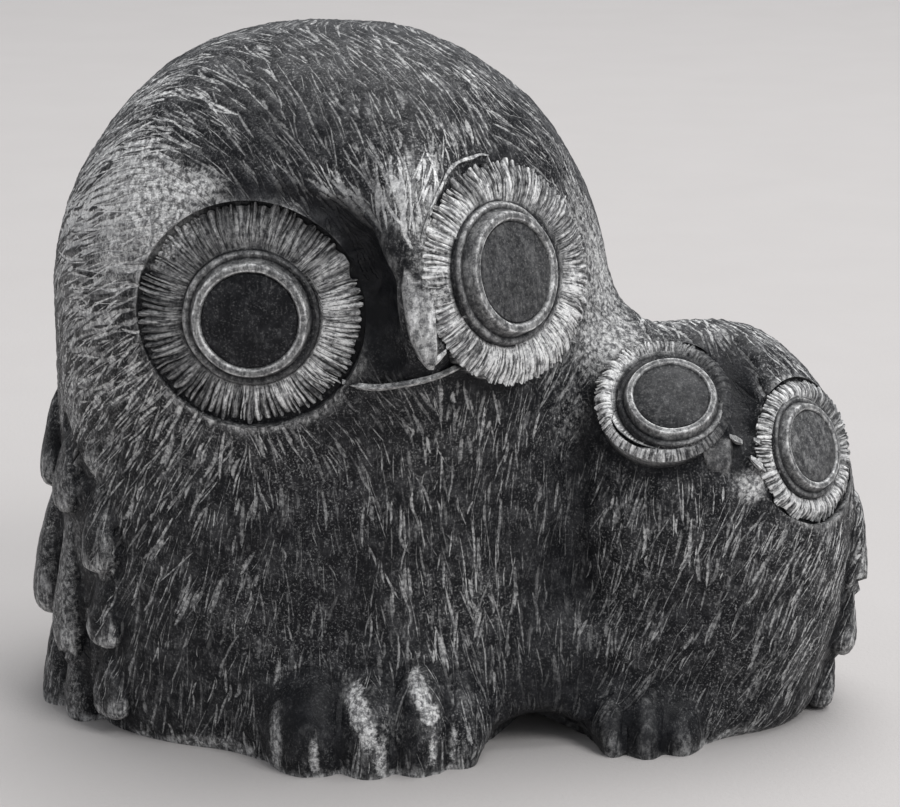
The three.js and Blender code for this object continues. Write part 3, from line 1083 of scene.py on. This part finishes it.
# Painted shade: near black in the hollows by the beak and above the left disc, under the mouth, round
# the feet, in the arch and by the owlet's beak; fainter on the crown and chest.
PAINTED_SHADE_SPOTS = [
    (vec(-15, -38, 90), vec(7, 9, 15.5), 1.2),
    (vec(17.4, -28, 11), vec(10, 8, 8), 0.95),
    (vec(-20, -37, 101), vec(8, 7, 5), 1.0),
    (vec(-32, -37, 106), vec(12, 6, 3), 0.9),
    (vec(-8, -40, 75), vec(8, 6, 2.6), 1.0),
    (vec(-26, -42, 10), vec(7, 9, 7), 0.85),
    (vec(-7.6, -44, 9), vec(1.6, 6, 8), 0.6),
    (vec(36, -33, 4), vec(10, 8, 7), 0.85),
    (vec(17.2, -26, 3), vec(14, 16, 10), 1.0),
    (vec(17, -32, 16), vec(8, 12, 12), 0.6),
    (vec(20, -26, 34), vec(5, 9, 16), 0.4),
    (vec(53, -22, 68), vec(5, 8, 9), 0.85),
    (vec(52.4, -29, 54), vec(1.3, 4, 5), 1.0),
    (vec(46, -20, 74), vec(8, 8, 4), 0.6),
    (vec(-30, -34, 116), vec(9, 8, 7), 0.4),
    (vec(-18, -38, 66), vec(10, 8, 5), 0.35),
    (vec(-22, -40, 40), vec(22, 8, 14), 0.2),
]


def spotted(points, spots):
    total = np.zeros(len(points))
    for centre, radii, share in spots:
        q = (points - centre) / radii
        total = np.maximum(total, share * np.exp(-((q * q).sum(-1) ** 1.5) * 0.7))
    return total


# What the vertices of a face part carry: paleness, place round its disc, place outwards.
PART_PAINT = ("pale", "turn", "out")


def painted_points(parts):
    """The vertices of the face parts, each with its paint."""
    known = []
    for part in parts:
        columns = [corners(part.data)]
        for name in PART_PAINT:
            found = part.data.attributes.get(name)
            values = [v.value for v in found.data] if found else [0] * len(part.data.vertices)
            columns.append(np.array(values)[:, None])
        known.append(np.hstack(columns))
    return np.vstack(known)


def paint_found(points, known, nearest=0.02):
    """The paint of each point that lies on a face part, and 1 where there is any."""
    tree = tree_of(known[:, :3])
    paint = np.zeros((len(points), len(PART_PAINT)))
    on_face = np.zeros(len(points))
    for i, p in enumerate(points):
        _, j, gap = tree.find(Vector(p))
        if gap < nearest:
            paint[i] = known[j, 3:]
            on_face[i] = 1
    return paint, on_face


def point_value(mesh, name, values):
    if mesh.attributes.get(name):
        mesh.attributes.remove(mesh.attributes[name])
    attribute = mesh.attributes.new(name, "FLOAT", "POINT")
    attribute.data.foreach_set("value", values.astype(np.float32))


def proud(mesh, rounds):
    """How far each vertex stands out of its surroundings, in millimetres."""
    points = corners(mesh)
    edges = np.empty(len(mesh.edges) * 2, np.int32)
    mesh.edges.foreach_get("vertices", edges)
    a, b = edges.reshape(-1, 2).T
    count = np.bincount(np.r_[a, b], minlength=len(points)).astype(float)[:, None]
    smooth = points.copy()
    for _ in range(rounds):
        total = np.zeros_like(smooth)
        np.add.at(total, a, smooth[b])
        np.add.at(total, b, smooth[a])
        smooth = total / count
    normals = np.empty(len(points) * 3, np.float32)
    mesh.vertices.foreach_get("normal", normals)
    return ((points - smooth) * normals.reshape(-1, 3)).sum(-1)


# How many strokes may cross one face.
LAYERS = 4


def write_strokes(mesh, strokes, on_face):
    """Gives each face the strokes that cross it, in layers that the material reads."""
    loops = np.array([v for f in mesh.polygons for v in f.vertices]).reshape(-1, 3)
    tri = corners(mesh)[loops]
    middle = tri.mean(1)
    index, k = strokes.near(tree_of(middle), 0.55)
    clear = on_face[loops].max(1)[index] < 0.5
    index, k = index[clear], k[clear]
    across, along = strokes.place(middle[index], k)
    beyond = np.maximum(np.abs(along - 0.5) - 0.5, 0) * strokes.length[k]
    bow = 1 - (2 * along - 1) ** 2
    beside = np.maximum(np.abs(across - strokes.bend[k] * bow) - 1, 0) * strokes.half[k]
    miss = np.hypot(beside, beyond)
    order = np.lexsort((miss - strokes.bright[k] * 0.2, index))
    index, k = index[order], k[order]
    first = np.r_[True, index[1:] != index[:-1]]
    begin = np.maximum.accumulate(np.where(first, np.arange(len(index)), 0))
    rank = np.arange(len(index)) - begin
    for layer in range(LAYERS):
        mine = rank == layer
        faces, which = index[mine], k[mine]
        values = np.zeros((len(loops), 3, 4), np.float32)
        for corner in range(3):
            across, along = strokes.place(tri[faces, corner], which)
            values[faces, corner, 0] = across
            values[faces, corner, 1] = along
            values[faces, corner, 2] = strokes.bright[which]
            values[faces, corner, 3] = strokes.bend[which]
        attribute = mesh.attributes.new(f"stroke_{layer}", "FLOAT_COLOR", "CORNER")
        attribute.data.foreach_set("color", values.ravel())


# ------------------------------------------------------------------ putting it together

# Islands of fewer faces than this are crumbs of the cutting.
CRUMB = 100


def folds(bm):
    """The faces that lie back to back on the same corners, and the fins left beside them."""
    twins = Counter(frozenset(face.verts) for face in bm.faces)
    found = []
    for face in bm.faces:
        shared = [len(edge.link_faces) for edge in face.edges]
        if twins[frozenset(face.verts)] > 1 or min(shared) < 2 < max(shared):
            found.append(face)
    return found


def crumbs(bm):
    """The faces of every island that is only a crumb."""
    seen = set()
    found = []
    for start in bm.faces:
        if start in seen:
            continue
        seen.add(start)
        island = [start]
        for face in island:
            for edge in face.edges:
                for other in edge.link_faces:
                    if other not in seen:
                        seen.add(other)
                        island.append(other)
        if len(island) < CRUMB:
            found += island
    return found


def all_triangles(block):
    """Turns the block into triangles: one closed skin with no folds and no crumbs."""
    bm = bmesh.new()
    bm.from_mesh(block.data)
    bmesh.ops.triangulate(bm, faces=bm.faces)
    folded = folds(bm)
    while folded:
        bmesh.ops.delete(bm, geom=folded, context="FACES")
        folded = folds(bm)
    bmesh.ops.delete(bm, geom=crumbs(bm), context="FACES")
    bm.to_mesh(block.data)
    bm.free()


block = refined(rough_block())
strokes = Strokes(block.data)
relieved(block, strokes)
based(block)
parts = face_parts()
known = painted_points(parts)
boolean(block, [pocket_for(eye) for eye in EYES], "DIFFERENCE")
boolean(block, parts, "UNION")
boolean(block, [crack(EYES[2])], "DIFFERENCE")
all_triangles(block)

mesh = block.data
points = corners(mesh)
face_paint, on_face = paint_found(points, known)
for column, name in enumerate(PART_PAINT):
    point_value(mesh, name, face_paint[:, column])
point_value(mesh, "on_face", on_face)
# Pale dust, and on the beak's right face painted light.
point_value(mesh, "dust_and_painted_light", spotted(points, PALE_SPOTS))
# Painted shade in the hollows, the arch and round the feet.
point_value(mesh, "painted_shade", spotted(points, PAINTED_SHADE_SPOTS))
point_value(mesh, "worn", comb_strength(points))
stands_out = proud(mesh, 8)
# Standing-out edges: rubbed pale, and partly a painted highlight.
point_value(mesh, "edge", np.clip((stands_out - 0.3) / 0.4, 0, 1))
# Painted shade: creases lose most of their paleness.
point_value(mesh, "crease_shade", np.clip((-stands_out - 0.08) / 0.25, 0, 1))
write_strokes(mesh, strokes, on_face)
mesh.transform(Matrix.Scale(MM, 4))
mesh.polygons.foreach_set("use_smooth", [True] * len(mesh.polygons))
mesh.set_sharp_from_angle(angle=math.radians(42))


# ------------------------------------------------------------------ the stone's finish

class Wire:
    """An output of a node, with arithmetic that adds Math nodes."""

    def __init__(self, finish, socket):
        self.finish = finish
        self.socket = socket

    def maths(self, operation, *values):
        return self.finish.node("ShaderNodeMath", {"operation": operation}, dict(enumerate(values)))

    def __add__(self, other):
        return self.maths("ADD", self, other)

    __radd__ = __add__

    def __sub__(self, other):
        return self.maths("SUBTRACT", self, other)

    def __rsub__(self, other):
        return self.maths("SUBTRACT", other, self)

    def __mul__(self, other):
        return self.maths("MULTIPLY", self, other)

    __rmul__ = __mul__

    def __truediv__(self, other):
        return self.maths("DIVIDE", self, other)

    def __pow__(self, other):
        return self.maths("POWER", self, other)

    def __abs__(self):
        return self.maths("ABSOLUTE", self)

    def above(self, other):
        return self.maths("MAXIMUM", self, other)

    def below(self, other):
        return self.maths("MINIMUM", self, other)

    def ramp(self, low, high):
        """0 at low and 1 at high, smoothly."""
        settings = {"interpolation_type": "SMOOTHSTEP"}
        values = {"Value": self, "From Min": low, "From Max": high}
        return self.finish.node("ShaderNodeMapRange", settings, values)


class Finish:
    """A material and its nodes."""

    def __init__(self, name):
        self.material = bpy.data.materials.new(name)
        self.material.use_nodes = True
        self.tree = self.material.node_tree
        self.shader = self.tree.nodes["Principled BSDF"]

    def node(self, kind, settings, values, output=0):
        made = self.tree.nodes.new(kind)
        for key, value in settings.items():
            setattr(made, key, value)
        for key, value in values.items():
            self.feed(made.inputs[key], value)
        return Wire(self, made.outputs[output])

    def feed(self, socket, value):
        if isinstance(value, Wire):
            self.tree.links.new(value.socket, socket)
        else:
            socket.default_value = value

    def attribute(self, name, output="Fac"):
        return self.node("ShaderNodeAttribute", {"attribute_name": name}, {}, output)

    def noise(self, place, scale, detail=3, roughness=0.55, distortion=0.0):
        values = {
            "Vector": place,
            "Scale": scale,
            "Detail": detail,
            "Roughness": roughness,
            "Distortion": distortion,
        }
        return self.node("ShaderNodeTexNoise", {}, values)

    def mix(self, share, a, b):
        settings = {"data_type": "RGBA"}
        return self.node("ShaderNodeMix", settings, {0: share, 6: a, 7: b}, 2)


def soapstone():
    stone = Finish("soapstone")
    place = stone.node("ShaderNodeTexCoord", {}, {}, "Object")
    streaks = stone.node("ShaderNodeMapping", {}, {"Vector": place, "Scale": (1, 1, 0.28)})
    cloud = stone.noise(place, 55, 4, 0.6).ramp(0.38, 0.68)
    mottle = stone.noise(place, 300, 5, 0.7).ramp(0.4, 0.7)
    grain = stone.noise(place, 2600, 2, 0.6)
    fleck = stone.noise(place, 2400, 2, 0.7).ramp(0.54, 0.68)
    hairs = stone.noise(streaks, 1900, 3, 0.7, 0.4).ramp(0.54, 0.66)
    wear = stone.noise(place, 1050, 4, 0.75)
    bite = wear.ramp(0.38, 0.60)
    cracks = stone.node(
        "ShaderNodeTexVoronoi",
        {"feature": "DISTANCE_TO_EDGE"},
        {"Vector": place, "Scale": 430.0},
    ).ramp(0.0, 0.12)

    scratches = None
    for layer in range(LAYERS):
        data = stone.attribute(f"stroke_{layer}", "Color")
        bend = stone.attribute(f"stroke_{layer}", "Alpha")
        parted = {}
        for index, name in enumerate(("across", "along", "bright")):
            parted[name] = stone.node("ShaderNodeSeparateColor", {}, {0: data}, index)
        bow = (1 - (parted["along"] * 2 - 1) ** 2).above(0)
        ragged = (wear - 0.5) * 1.8 + (grain - 0.5) * 1.2
        off = abs(parted["across"] - bend * bow + ragged)
        line = ((bow ** 0.5) * 1.25 - off).ramp(-0.15, 0.5)
        line = line * parted["bright"] * (bow * 5).below(1)
        scratches = line if scratches is None else scratches.above(line)

    dust_and_painted_light = stone.attribute("dust_and_painted_light")
    pale = stone.attribute("pale")
    face = stone.attribute("on_face")
    painted_shade = stone.attribute("painted_shade")
    worn = stone.attribute("worn")
    edge = stone.attribute("edge")
    crease_shade = stone.attribute("crease_shade")
    fan = stone.node(
        "ShaderNodeCombineXYZ",
        {},
        {0: stone.attribute("turn") * 1.7, 1: stone.attribute("out") * 0.22, 2: face},
    )
    fine_rays = stone.noise(fan, 1, 4, 0.75).ramp(0.42, 0.58)

    dragged = stone.noise(streaks, 900, 4, 0.7, 0.3).ramp(0.46, 0.6)
    # Rubbed pale dust; on the beak's right face it is painted light.
    rubbed = (dust_and_painted_light * 1.3 + (wear - 0.5) * 1.5 * (dust_and_painted_light * 8).below(1)).ramp(0.15, 0.7)
    rubbed = rubbed * (dust_and_painted_light * 1.4).below(1) * (0.3 + 0.56 * bite + 0.4 * fleck + 0.3 * hairs)
    rubbed = rubbed * (0.62 + 0.38 * cracks)
    combed = (stone.attribute("out") * 4).below(1)
    smears = stone.noise(streaks, 520, 3, 0.6, 0.4).ramp(0.5, 0.64)
    worn_smooth = 0.18 + smears * 0.55 + hairs * 0.3 + fleck * 0.25
    carved_pale = combed * fine_rays + (1 - combed) * (worn_smooth + 0.08)
    carved_pale = pale * (0.04 + bite * 0.24 + carved_pale)
    haze = mottle * 0.06 + fleck * 0.34 * (0.3 + cloud) + hairs * 0.26 * (0.3 + mottle)
    haze = haze * (0.3 + worn * 1.0) * (1 - face * 0.8) + face * fleck * 0.03
    # Pale on the standing-out edges: rubbed wear, and in part a painted highlight.
    edges = edge * (0.06 + 0.16 * bite + 0.5 * dragged) * (1 - face)
    paleness = scratches * (0.4 + 0.6 * bite).above(worn ** 3)
    paleness = paleness.above(rubbed).above(carved_pale).above(edges)
    paleness = paleness + haze * (1 - paleness)
    # Painted shade in the creases.
    paleness = paleness * (1 - crease_shade * 0.7 * (1 - face))
    # Painted shade: the shade spots darken the stone nearly to black, less where it is pale.
    shaded = painted_shade.below(1) * (1 - dust_and_painted_light.below(1)) * (1 - face)
    paleness = (paleness * (1 - shaded * 0.96)).above(0).below(1)

    dark = stone.mix(mottle, (0.006, 0.0064, 0.008, 1), (0.016, 0.0164, 0.019, 1))
    light = stone.mix(bite, (0.46, 0.46, 0.465, 1), (0.86, 0.86, 0.85, 1))
    colour = stone.mix(paleness, dark, light)
    stone.feed(stone.shader.inputs["Base Color"], colour)
    stone.feed(stone.shader.inputs["Roughness"], 0.42 + paleness * 0.42 + (wear - 0.5) * 0.2)
    height = grain * 0.14 + wear * 0.26 + mottle * 0.15 - scratches * 0.7
    height = height * (1 - face * 0.6)
    bump = stone.node(
        "ShaderNodeBump", {}, {"Strength": 0.8, "Distance": 0.0006, "Height": height}, "Normal"
    )
    stone.feed(stone.shader.inputs["Normal"], bump)
    stone.shader.inputs["IOR"].default_value = 1.25
    return stone.material


block.data.materials.clear()
block.data.materials.append(soapstone())
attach(block, "root")
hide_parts("owl_carving")


# ------------------------------------------------------------------ table, light and camera

def table():
    bm = bmesh.new()
    bmesh.ops.create_grid(bm, x_segments=2, y_segments=2, size=4)
    top = object_from(bm, "table_top")
    cloth = Finish("pale_paper")
    place = cloth.node("ShaderNodeTexCoord", {}, {}, "Object")
    patches = cloth.noise(place, 25, 3)
    fibres = cloth.noise(place, 900, 3, 0.7)
    colour = cloth.mix(patches, (0.475, 0.455, 0.445, 1), (0.505, 0.485, 0.475, 1))
    cloth.feed(cloth.shader.inputs["Base Color"], colour)
    cloth.shader.inputs["Roughness"].default_value = 0.95
    bump = cloth.node(
        "ShaderNodeBump", {}, {"Strength": 0.25, "Distance": 0.0005, "Height": fibres}, "Normal"
    )
    cloth.feed(cloth.shader.inputs["Normal"], bump)
    top.data.materials.append(cloth.material)


def soft_light(name, at, towards, size, power):
    lamp = bpy.data.lights.new(name, "AREA")
    lamp.shape = "RECTANGLE"
    lamp.size, lamp.size_y = size
    lamp.energy = power
    lamp_object = bpy.data.objects.new(name, lamp)
    lamp_object.location = at
    aim = Vector(towards) - Vector(at)
    lamp_object.rotation_euler = aim.to_track_quat("-Z", "Y").to_euler()
    bpy.context.scene.collection.objects.link(lamp_object)


def sky():
    world = bpy.data.worlds.new("studio")
    world.use_nodes = True
    world.node_tree.nodes["Background"].inputs["Color"].default_value = (0.86, 0.88, 0.92, 1)
    world.node_tree.nodes["Background"].inputs["Strength"].default_value = 0.5
    bpy.context.scene.world = world


def camera():
    lens = bpy.data.cameras.new("camera")
    lens.sensor_width = 36
    lens.lens = 115.8
    lens.clip_start = 0.01
    eye = bpy.data.objects.new("camera", lens)
    eye.location = (0, -0.5313, 0.2)
    aim = Vector((0, 0, 0.0577)) - Vector(eye.location)
    eye.rotation_euler = aim.to_track_quat("-Z", "Y").to_euler()
    bpy.context.scene.collection.objects.link(eye)
    bpy.context.scene.camera = eye


table()
soft_light("overhead", (0.4, 0.5, 2.2), (0, 0, 0.06), (2.0, 1.8), 48)
soft_light("front right", (0.9, -0.9, 1.2), (0, 0, 0.06), (0.7, 0.7), 11.5)
sky()
camera()
bpy.context.scene.view_settings.view_transform = "Standard"
